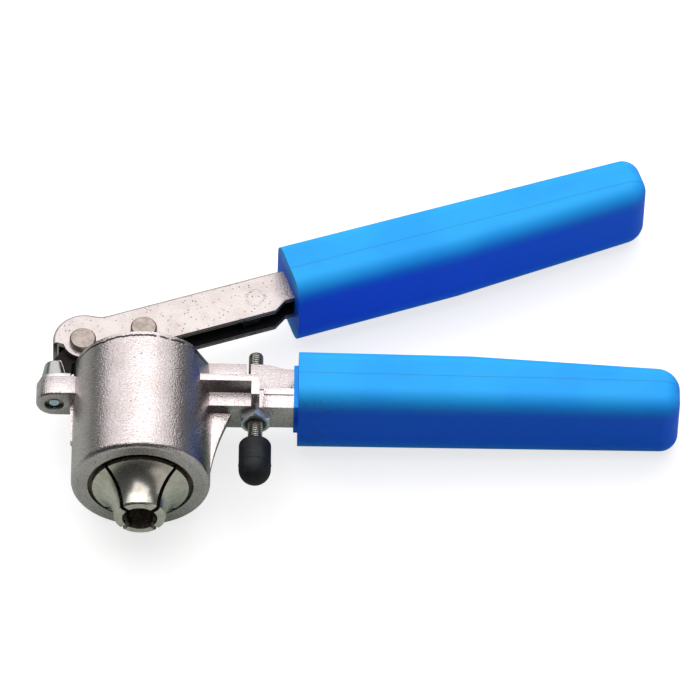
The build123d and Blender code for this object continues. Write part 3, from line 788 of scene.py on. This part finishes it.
class Bench:
    """Modelling by hand with operators, one object at a time."""

    WELD_GAP = 1e-6
    FLAT_DEG = 0.8
    EDGE_DEG = 38.0
    EDGE_STEPS = 2
    SMOOTH_DEG = 40.0

    @staticmethod
    def clear() -> None:
        """Deselect every object."""
        if bpy.context.mode != "OBJECT":
            bpy.ops.object.mode_set(mode="OBJECT")
        bpy.ops.object.select_all(action="DESELECT")

    @classmethod
    def hold(cls, piece: bpy.types.Object) -> None:
        """Make one object the only selected and active one.

        Args:
            piece: The object.
        """
        cls.clear()
        piece.select_set(True)
        bpy.context.view_layer.objects.active = piece

    @classmethod
    def edit(cls, piece: bpy.types.Object, mode: str = "VERT") -> None:
        """Open one object in edit mode with nothing selected.

        Args:
            piece: The object.
            mode: VERT, EDGE or FACE.
        """
        cls.hold(piece)
        bpy.ops.object.mode_set(mode="EDIT")
        bpy.ops.mesh.select_mode(type=mode)
        bpy.ops.mesh.select_all(action="DESELECT")

    @staticmethod
    def pick_faces(piece: bpy.types.Object, where: Callable[[Vector], bool]) -> None:
        """Select the faces whose middles pass a test, in edit mode.

        Args:
            piece: The object in edit mode.
            where: Test of a face's middle.
        """
        bpy.ops.object.mode_set(mode="OBJECT")
        for face in piece.data.polygons:
            face.select = where(face.center)
        bpy.ops.object.mode_set(mode="EDIT")

    @classmethod
    def done(cls, piece: bpy.types.Object, name: str, smooth_deg: float) -> bpy.types.Object:
        """Leave edit mode, put the place into the mesh, shade and name the piece.

        Args:
            piece: The object.
            name: Its new name.
            smooth_deg: Sharper edges than this stay sharp.

        Returns:
            The object.
        """
        cls.hold(piece)
        bpy.ops.object.transform_apply(location=True, rotation=True, scale=True)
        bpy.ops.object.shade_smooth_by_angle(angle=math.radians(smooth_deg))
        piece.name = name
        piece.data.name = name
        cls.clear()
        return piece

    @classmethod
    def cylinder_y(cls, centre: Sequence[float], radius: float, length: float,
                   sides: int) -> bpy.types.Object:
        """A round bar along Y to start from.

        Args:
            centre: Its middle.
            radius: Its radius.
            length: Its length.
            sides: Flats round it.

        Returns:
            The bar.
        """
        cls.clear()
        bpy.ops.mesh.primitive_cylinder_add(
            vertices=sides, radius=radius, depth=length, location=centre,
            rotation=(math.radians(-90), 0, 0))
        return bpy.context.object

    @classmethod
    def apply(cls, piece: bpy.types.Object, kind: str, settings: dict) -> None:
        """Add one modifier and apply it.

        Args:
            piece: The object.
            kind: The modifier's type.
            settings: Its settings.
        """
        cls.hold(piece)
        modifier = piece.modifiers.new(kind.lower(), kind)
        for key, value in settings.items():
            setattr(modifier, key, value)
        bpy.ops.object.modifier_apply(modifier=modifier.name)

    @staticmethod
    def copied(node: str, name: str) -> bpy.types.Object:
        """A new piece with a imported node's own mesh, shown in its place.

        Args:
            node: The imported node.
            name: Name of the new piece.

        Returns:
            The new piece.
        """
        piece = bpy.data.objects.new(name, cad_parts[node].data.copy())
        bpy.context.scene.collection.objects.link(piece)
        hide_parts(node)
        return piece

    @classmethod
    def softened(cls, node: str, name: str, width: float) -> bpy.types.Object:
        """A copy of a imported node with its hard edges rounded.

        Args:
            node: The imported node.
            name: Name of the new piece.
            width: Width of the rounding.

        Returns:
            The new piece.
        """
        piece = cls.copied(node, name)
        cls.edit(piece)
        bpy.ops.mesh.customdata_custom_splitnormals_clear()
        bpy.ops.mesh.select_all(action="SELECT")
        bpy.ops.mesh.remove_doubles(threshold=cls.WELD_GAP)
        bpy.ops.mesh.dissolve_limited(angle_limit=math.radians(cls.FLAT_DEG))
        bpy.ops.object.mode_set(mode="OBJECT")
        cls.apply(piece, "BEVEL", {
            "width": width, "segments": cls.EDGE_STEPS, "limit_method": "ANGLE",
            "angle_limit": math.radians(cls.EDGE_DEG), "use_clamp_overlap": True,
            "miter_outer": "MITER_ARC"})
        return cls.done(piece, name, cls.SMOOTH_DEG)


def dress(piece: bpy.types.Object, material: bpy.types.Material) -> None:
    """Give a piece one material in every slot.

    Args:
        piece: The object.
        material: Its material.
    """
    slots = piece.material_slots
    if not slots:
        piece.data.materials.append(material)
    for slot in slots:
        slot.material = material


def dress_nodes(names: Sequence[str], material: bpy.types.Material) -> None:
    """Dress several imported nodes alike.

    Args:
        names: The nodes.
        material: Their material.
    """
    for name in names:
        dress(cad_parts[name], material)
        LOG.info("node %s dressed in %s", name, material.name)


def fit_out(piece: bpy.types.Object, body: Body, material: bpy.types.Material) -> None:
    """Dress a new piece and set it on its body.

    Args:
        piece: The new piece.
        body: The body that it rides on.
        material: Its material.
    """
    dress(piece, material)
    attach(piece, body.value)
    LOG.info("piece %s rides on %s, %d faces", piece.name, body.value, len(piece.data.polygons))


@dataclass
class Casting:
    """Head, arm and lug of the casting, with the guide cap in its top."""

    edge: float = 0.55 * MM
    rim_y: float = 59.5 * MM
    head_specks: float = 0.30

    def build(self) -> None:
        """Dress the head and round the arm's and the lug's cast edges."""
        head = CastNickel("cast_nickel_head", speck_share=self.head_specks, rim_y=self.rim_y)
        dress_nodes(["head_body"], head.make())
        cast = CastNickel().make()
        for node, name in (("handle_arm", "cast_arm"), ("fulcrum_lug", "cast_lug")):
            fit_out(Bench.softened(node, name, self.edge), Body.FRAME, cast)
        dress_nodes(["guide_cap"], TurnedSteel("turned_cap").make())


@dataclass
class Collet:
    """The four jaws, their rings, and the plunger with its cone, anvil and return spring."""

    stroke: float = 5.15 * MM

    def build(self) -> None:
        """Dress the jaws, the rings and what moves inside them."""
        chrome = PolishedChrome().make()
        dress_nodes(["jaw_upper", "jaw_right", "jaw_lower", "jaw_left"], chrome)
        steel = TurnedSteel("turned_steel").make()
        dress_nodes(["jaw_retainer_ring", "plunger_rod", "spring_seat"], steel)
        # painted shade: the cone, the anvil and the seat ring deep in the mouth are near-black
        # steel that stands in for their shade
        shade_steel = TurnedSteel("painted_shade_steel", (0.10, 0.075, 0.06), (0.05, 0.04, 0.035), 0.3)
        dress_nodes(["jaw_cone", "anvil", "jaw_seat_ring"], shade_steel.make())
        wire = TurnedSteel("spring_wire", (0.50, 0.50, 0.51), (0.33, 0.33, 0.35))
        self.spring(wire.make())
        dress_nodes(["jaw_return_ring"], MattRubber("ring_rubber").make())

    def spring(self, material: bpy.types.Material) -> None:
        """Return spring that the plunger's collar presses down on its seat.

        Args:
            material: The wire's material.
        """
        coil = Bench.copied("return_spring", "spring_coil")
        fit_out(coil, Body.FRAME, material)
        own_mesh(coil)


@dataclass
class LeverArm:
    """Stamped lever with its pins and the block that meets the stop screw."""

    def build(self) -> None:
        """Dress the lever's nodes."""
        dress_nodes(["lever_channel"], PlatedSheet().make())
        dress_nodes(["fulcrum_pin", "plunger_pin"], SatinPin().make())
        # painted shade: the stop block inside the channel is near black, standing in for the
        # channel's shade
        dark = TurnedSteel("block_painted_shade", (0.035, 0.034, 0.033), (0.02, 0.02, 0.02), 0.45)
        dress_nodes(["stop_block"], dark.make())


@dataclass
class FulcrumMount:
    """Bracket on the lug with its washer plate and stud."""

    plate_edge: float = 0.30 * MM

    def build(self) -> None:
        """Dress the bracket and round the washer plate."""
        dull = ZincPlate("plated_plate", (0.56, 0.57, 0.58), (0.42, 0.43, 0.44), 0.34, 0.02 * MM)
        plate = Bench.softened("bracket_plate", "washer_plate", self.plate_edge)
        fit_out(plate, Body.FRAME, dull.make())
        dress_nodes(["fulcrum_bracket"], BracketChrome().make())
        bright = ZincPlate("zinc_stud", (0.62, 0.76, 0.84), (0.48, 0.60, 0.68), 0.20)
        dress_nodes(["fulcrum_stud"], bright.make())


@dataclass
class StopScrew:
    """Threaded stop screw with its lock nut and rubber cap."""

    centre_x: float = 38.4 * MM
    radius: float = 2.5 * MM
    root_radius: float = 2.06 * MM
    pitch: float = 0.8 * MM
    crest: float = 0.10 * MM
    steps: int = 28
    spare_turns: int = 3
    trim: float = 0.32 * MM
    merge_gap: float = 0.01 * MM
    weld_gap: float = 0.005 * MM
    bar_inset: float = 0.01 * MM
    bar_sides: int = 48
    tip_round: float = 1.3 * MM
    tip_steps: int = 5
    thread_bright_radius: float = 2.33 * MM
    thread_dark_radius: float = 2.13 * MM
    nut_bright_radius: float = 4.6 * MM
    nut_dark_radius: float = 3.3 * MM
    seam_y: float = 22.9 * MM
    seam_out: float = 0.12 * MM
    seam_sides: tuple[int, int] = (72, 8)
    seam_stretch: float = 1.8

    def build(self) -> None:
        """Cut the thread, add the cap's seam and dress the nodes."""
        low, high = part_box("stop_screw")
        # oil and painted shade in the thread's roots
        oil = OilAndShade(self.centre_x, self.thread_bright_radius, self.thread_dark_radius)
        steel = ZincPlate("screw_steel", (0.66, 0.65, 0.61), (0.46, 0.45, 0.42), 0.20, oil=oil)
        screw = self.threaded(low.y, high.y)
        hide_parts("stop_screw")
        fit_out(screw, Body.STOP_SCREW, steel.make())
        rubber = MattRubber("cap_rubber").make()
        dress_nodes(["stop_screw_cap"], rubber)
        fit_out(self.cap_seam(), Body.STOP_SCREW, rubber)
        # oil and painted shade on the nut's end faces round the screw
        oil = OilAndShade(self.centre_x, self.nut_bright_radius, self.nut_dark_radius)
        nut = ZincPlate("nut_zinc", (0.66, 0.71, 0.76), (0.50, 0.54, 0.59), 0.22, oil=oil)
        dress_nodes(["stop_lock_nut"], nut.make())

    def threaded(self, low_y: float, high_y: float) -> bpy.types.Object:
        """A round bar with a cut thread and a rounded tip.

        Args:
            low_y: Where the bar starts.
            high_y: Where its tip ends.

        Returns:
            The screw.
        """
        turns = math.ceil((high_y - low_y) / self.pitch) + self.spare_turns
        start = low_y - self.spare_turns / 2 * self.pitch
        rows = [(self.root_radius, 0.0), (self.root_radius, self.pitch / 2 - 2 * self.crest),
                (self.radius, self.pitch / 2), (self.radius, self.pitch / 2 + self.crest),
                (self.root_radius, self.pitch - self.crest)]
        Bench.clear()
        bpy.ops.mesh.primitive_circle_add(vertices=len(rows), radius=self.pitch / 2)
        tooth = bpy.context.object
        for vertex, (radius, rise) in zip(tooth.data.vertices, rows):
            vertex.co = (radius, rise, 0.0)
        return self.wind(tooth, start, turns, low_y, high_y)

    def wind(self, tooth: bpy.types.Object, start: float, turns: int, low_y: float,
             high_y: float) -> bpy.types.Object:
        """Wind one tooth into a screw and cut it to the bar's own shape.

        Args:
            tooth: Closed section of one tooth from its foot.
            start: Where the first turn starts.
            turns: How many turns are wound.
            low_y: Where the bar starts.
            high_y: Where its tip ends.

        Returns:
            The screw.
        """
        Bench.edit(tooth, "EDGE")
        bpy.ops.object.mode_set(mode="OBJECT")
        for edge in tooth.data.edges:
            ends = [tooth.data.vertices[i].co for i in edge.vertices]
            edge.select = abs(ends[0].y - ends[1].y) > 0.8 * self.pitch
        for item in (*tooth.data.vertices, *tooth.data.polygons):
            item.select = False
        bpy.ops.object.mode_set(mode="EDIT")
        bpy.ops.mesh.delete(type="EDGE")
        bpy.ops.object.mode_set(mode="OBJECT")
        Bench.apply(tooth, "SCREW", {
            "axis": "Y", "angle": math.tau, "screw_offset": self.pitch, "iterations": turns,
            "steps": self.steps, "render_steps": self.steps, "use_merge_vertices": True,
            "merge_threshold": self.merge_gap})
        tooth.location = (self.centre_x, start, 0.0)
        Bench.hold(tooth)
        bpy.ops.object.transform_apply(location=True, rotation=False, scale=False)
        for cut_y, outer in ((low_y - self.trim, False), (high_y + self.trim, True)):
            Bench.edit(tooth)
            bpy.ops.mesh.select_all(action="SELECT")
            bpy.ops.mesh.bisect(plane_co=(0, cut_y, 0), plane_no=(0, 1, 0), use_fill=True,
                                clear_inner=not outer, clear_outer=outer, threshold=1e-7)
        bpy.ops.mesh.select_all(action="SELECT")
        bpy.ops.mesh.remove_doubles(threshold=self.weld_gap)
        bpy.ops.mesh.normals_make_consistent(inside=False)
        bpy.ops.object.mode_set(mode="OBJECT")
        self.cut_to_bar(tooth, low_y, high_y)
        return Bench.done(tooth, "stop_screw_thread", 30.0)

    def cut_to_bar(self, screw: bpy.types.Object, low_y: float, high_y: float) -> None:
        """Keep only what lies inside a bar with a rounded tip.

        Args:
            screw: The wound thread.
            low_y: Where the bar starts.
            high_y: Where its tip ends.
        """
        middle = (self.centre_x, (low_y + high_y) / 2, 0.0)
        radius = self.radius - self.bar_inset
        bar = Bench.cylinder_y(middle, radius, high_y - low_y, self.bar_sides)
        Bench.hold(bar)
        bpy.ops.object.transform_apply(location=True, rotation=True, scale=True)
        Bench.edit(bar, "FACE")
        Bench.pick_faces(bar, lambda at: at.y > high_y - self.weld_gap)
        bpy.ops.mesh.bevel(offset=self.tip_round, segments=self.tip_steps, affect="EDGES")
        bpy.ops.object.mode_set(mode="OBJECT")
        Bench.apply(screw, "BOOLEAN", {"operation": "INTERSECT", "object": bar, "solver": "EXACT"})
        bpy.data.objects.remove(bar)

    def cap_seam(self) -> bpy.types.Object:
        """Fine mould line round the rubber cap.

        Returns:
            The mould line.
        """
        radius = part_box("stop_screw_cap")[1].z
        middle = (self.centre_x, self.seam_y, 0.0)
        round_it, through_it = self.seam_sides
        Bench.clear()
        bpy.ops.mesh.primitive_torus_add(
            major_radius=radius, minor_radius=self.seam_out, major_segments=round_it,
            minor_segments=through_it, location=middle, rotation=(math.radians(90), 0, 0))
        seam = bpy.context.object
        Bench.edit(seam)
        bpy.ops.mesh.select_all(action="SELECT")
        bpy.ops.transform.resize(value=(1.0, self.seam_stretch, 1.0), center_override=middle)
        return Bench.done(seam, "cap_mould_line", 60.0)


@dataclass
class Grips:
    """Both moulded grips."""

    lower_smudge_x: float = 61.0 * MM
    lower_line_y: float = 51.2 * MM
    upper_line_v: float = 2.6 * MM

    def build(self) -> None:
        """Dress both grips."""
        lower = BlueVinyl("grip_blue_lower", self.lower_line_y, thumbed_x=self.lower_smudge_x)
        dress_nodes(["lower_grip"], lower.make())
        upper = BlueVinyl("grip_blue_upper", self.upper_line_v, on_lever=True)
        dress_nodes(["upper_grip"], upper.make())


@dataclass(frozen=True)
class Lamp:
    """Soft rectangular lamp, its way and distance taken from the tool and its power in watts."""

    name: str
    way: tuple[float, float, float]
    distance: float
    size: tuple[float, float]
    power: float

    def light(self, target: Sequence[float], tint: Colour) -> None:
        """Set the lamp up so that it faces the tool.

        Args:
            target: Middle of the tool.
            tint: The lamp's colour.
        """
        light = bpy.data.lights.new(self.name, "AREA")
        light.shape = "RECTANGLE"
        light.size, light.size_y = self.size
        light.energy = self.power
        light.color = tint
        lamp = bpy.data.objects.new(self.name, light)
        bpy.context.scene.collection.objects.link(lamp)
        lamp.location = Vector(target) + Vector(self.way).normalized() * self.distance
        lamp.rotation_euler = Vector(self.way).to_track_quat("Z", "Y").to_euler()


@dataclass
class Studio:
    """Pale floor, soft light and the camera of the photograph."""

    azimuth: float = -1.6935
    elevation: float = 53.2626
    roll: float = 2.4932
    distance: float = 3.42267
    target: tuple[float, float, float] = (0.0703119, 0.0724040, 0.0)
    lens_widths: float = 14.3597
    sensor: float = 36.0
    seen_from: float = 0.1
    seen_to: float = 50.0
    floor_low: float = -23.55 * MM
    floor_slope: float = 2.55
    floor_size: float = 6.0
    floor_white: float = 0.45
    floor_far: float = 0.36
    floor_glow: float = 0.74
    glow_in_gloss: float = 0.22
    # tint of the floor's glow seen only in reflections, a painted reflection tint on the metal
    reflection_glow_tint: Colour = (0.70, 1.0, 0.76)
    # the painted pool of light on the floor: brighter and glowing near the tool, greyer farther
    # from it
    painted_pool_start: float = 0.28
    painted_pool_end: float = 0.75
    lamps: tuple[Lamp, ...] = (Lamp("key_lamp", (-0.08, 0.66, 0.75), 2.4, (5.0, 3.0), 67.0),
                               Lamp("top_lamp", (-0.05, 0.12, 0.99), 2.0, (2.2, 2.2), 25.0),
                               Lamp("front_lamp", (0.80, -0.55, 0.22), 2.2, (3.0, 1.6), 9.5))
    world_front: float = 0.04
    world_back: float = 0.19
    world_tint: Colour = (0.93, 0.97, 1.0)
    lamp_tint: Colour = (1.0, 0.975, 0.965)

    def build(self) -> None:
        """Set up the floor, the lamps, the world and the camera."""
        self.floor()
        for lamp in self.lamps:
            lamp.light(self.target, self.lamp_tint)
        self.world()
        self.camera()
        LOG.info("studio set up")

    def floor(self) -> None:
        """Plane that the head's side and the grips' far ends rest on."""
        Bench.clear()
        bpy.ops.mesh.primitive_plane_add(size=self.floor_size, location=(0, 0, self.floor_low))
        plane = bpy.context.object
        plane.name = "floor"
        plane.rotation_euler = (0.0, -math.radians(self.floor_slope), 0.0)
        maker = NodeMaker("pale_floor")
        near, far = (self.floor_white,) * 3, (self.floor_far,) * 3
        x, y, _z = maker.parts_of(maker.place())
        # painted pool of light: the floor's colour and glow fall off with distance from the tool
        off = reach(x - self.target[0], y - self.target[1])
        outside_pool = off.step(self.painted_pool_start, self.painted_pool_end)
        matt = maker.node("ShaderNodeBsdfDiffuse", feeds={"Color": maker.tint(outside_pool, near, far)})
        path = maker.node("ShaderNodeLightPath")
        gloss = Val(maker, path.outputs["Is Glossy Ray"])
        seen = Val(maker, path.outputs["Is Camera Ray"]).larger(gloss * self.glow_in_gloss)
        seen = seen.larger(Val(maker, path.outputs["Is Transmission Ray"]))
        # the glow seen by glossy rays is weaker and tinted: a painted reflection
        glow = maker.node("ShaderNodeEmission", feeds={
            "Color": maker.tint(gloss, (1.0, 1.0, 1.0), self.reflection_glow_tint),
            "Strength": seen * (1 - outside_pool) * self.floor_glow})
        both = maker.node("ShaderNodeAddShader")
        out = maker.node("ShaderNodeOutputMaterial")
        maker.tree.links.new(matt.outputs[0], both.inputs[0])
        maker.tree.links.new(glow.outputs[0], both.inputs[1])
        maker.tree.links.new(both.outputs[0], out.inputs[0])
        dress(plane, maker.material)

    def world(self) -> None:
        """Dim light all round, brighter behind the tool than in front of its jaws."""
        world = bpy.data.worlds.new("studio")
        bpy.context.scene.world = world
        world.use_nodes = True
        tree = world.node_tree
        tree.nodes.clear()
        out = tree.nodes.new("ShaderNodeOutputWorld")
        back = tree.nodes.new("ShaderNodeBackground")
        at = tree.nodes.new("ShaderNodeTexCoord")
        part = tree.nodes.new("ShaderNodeSeparateXYZ")
        span = tree.nodes.new("ShaderNodeMapRange")
        span.inputs["From Min"].default_value = -1.0
        span.inputs["From Max"].default_value = 1.0
        span.inputs["To Min"].default_value = self.world_front
        span.inputs["To Max"].default_value = self.world_back
        back.inputs["Color"].default_value = rgba(self.world_tint)
        tree.links.new(at.outputs["Generated"], part.inputs[0])
        tree.links.new(part.outputs[1], span.inputs["Value"])
        tree.links.new(span.outputs[0], back.inputs["Strength"])
        tree.links.new(back.outputs[0], out.inputs[0])

    def camera(self) -> None:
        """The photograph's long lens and viewing angle."""
        angles = (self.azimuth, self.elevation, self.roll)
        azimuth, elevation, roll = (math.radians(angle) for angle in angles)
        back = Vector((math.sin(azimuth) * math.cos(elevation),
                       -math.cos(azimuth) * math.cos(elevation), math.sin(elevation)))
        right = (-back).cross(Vector((0, 0, 1))).normalized()
        up = right.cross(-back)
        turned_right = right * math.cos(roll) + up * math.sin(roll)
        turned_up = up * math.cos(roll) - right * math.sin(roll)
        data = bpy.data.cameras.new("camera")
        data.sensor_width = self.sensor
        data.lens = self.sensor * self.lens_widths
        data.clip_start = self.seen_from
        data.clip_end = self.seen_to
        camera = bpy.data.objects.new("camera", data)
        bpy.context.scene.collection.objects.link(camera)
        turn = Matrix((turned_right, turned_up, back)).transposed().to_4x4()
        camera.matrix_world = Matrix.Translation(Vector(self.target) + back * self.distance) @ turn
        bpy.context.scene.camera = camera


def main() -> None:
    """Build every sub-assembly in order."""
    logging.basicConfig(level=logging.INFO, format="%(name)s: %(message)s")
    view = bpy.context.scene.view_settings
    view.view_transform = "Standard"
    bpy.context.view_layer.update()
    Studio().build()
    for part in (Casting(), Collet(), LeverArm(), FulcrumMount(), StopScrew(), Grips()):
        part.build()
        LOG.info("%s built", type(part).__name__)


if __name__ == "__main__":
    main()
